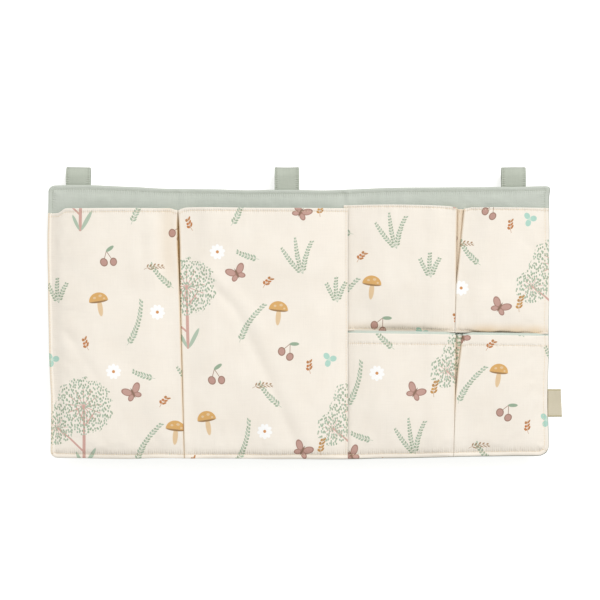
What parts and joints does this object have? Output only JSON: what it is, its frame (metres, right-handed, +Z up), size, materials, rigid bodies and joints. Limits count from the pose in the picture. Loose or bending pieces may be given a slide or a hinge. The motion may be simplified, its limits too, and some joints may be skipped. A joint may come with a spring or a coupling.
{
  "type": "hanging bedside caddy",
  "caption": "Padded cotton panel with pleated cloth pockets in rows, hung on a rail by strap loops that close behind it with hook and loop tape.",
  "frame": {"origin": "middle of the rail's axis, inside the strap loops, halfway along the panel's width", "axes": "+X to the viewer's right along the rail, +Y away from the viewer through the panel, +Z up"},
  "size_m": [0.5655, 0.0389, 0.32],
  "materials": {
    "sage_cotton": "plain woven cotton, matt",
    "printed_cotton": "printed plain woven cotton, matt",
    "wadding": "soft polyester wadding",
    "tape": "woven hook and loop tape",
    "tag_ribbon": "woven ribbon, slight sheen"
  },
  "bodies": {
    "panel": {"front_cover": "sage_cotton", "back_cover": "sage_cotton", "wadding": "wadding", "tall_pocket_cloth": "printed_cotton", "tall_pocket_lining": "sage_cotton", "upper_pocket_cloth": "printed_cotton", "upper_pocket_lining": "sage_cotton", "lower_pocket_cloth": "printed_cotton", "lower_pocket_lining": "sage_cotton", "left_strap_anchor": "sage_cotton", "left_loop_tape": "tape", "middle_strap_anchor": "sage_cotton", "middle_loop_tape": "tape", "right_strap_anchor": "sage_cotton", "right_loop_tape": "tape", "woven_side_tag": "tag_ribbon"},
    "left_tail": {"left_strap_tail": "sage_cotton", "left_hook_tape": "tape"},
    "middle_tail": {"middle_strap_tail": "sage_cotton", "middle_hook_tape": "tape"},
    "right_tail": {"right_strap_tail": "sage_cotton", "right_hook_tape": "tape"}
  },
  "joints": [
    {"name": "left_strap_opening", "type": "hinge", "parent": "panel", "child": "left_tail", "pos_m": [-0.243, 0, 0.0107], "axis": [1, 0, 0], "range_deg": [0, 170]},
    {"name": "middle_strap_opening", "type": "hinge", "parent": "panel", "child": "middle_tail", "pos_m": [-0.013, 0, 0.0107], "axis": [1, 0, 0], "range_deg": [0, 170]},
    {"name": "right_strap_opening", "type": "hinge", "parent": "panel", "child": "right_tail", "pos_m": [0.237, 0, 0.0107], "axis": [1, 0, 0], "range_deg": [0, 170]}
  ]
}
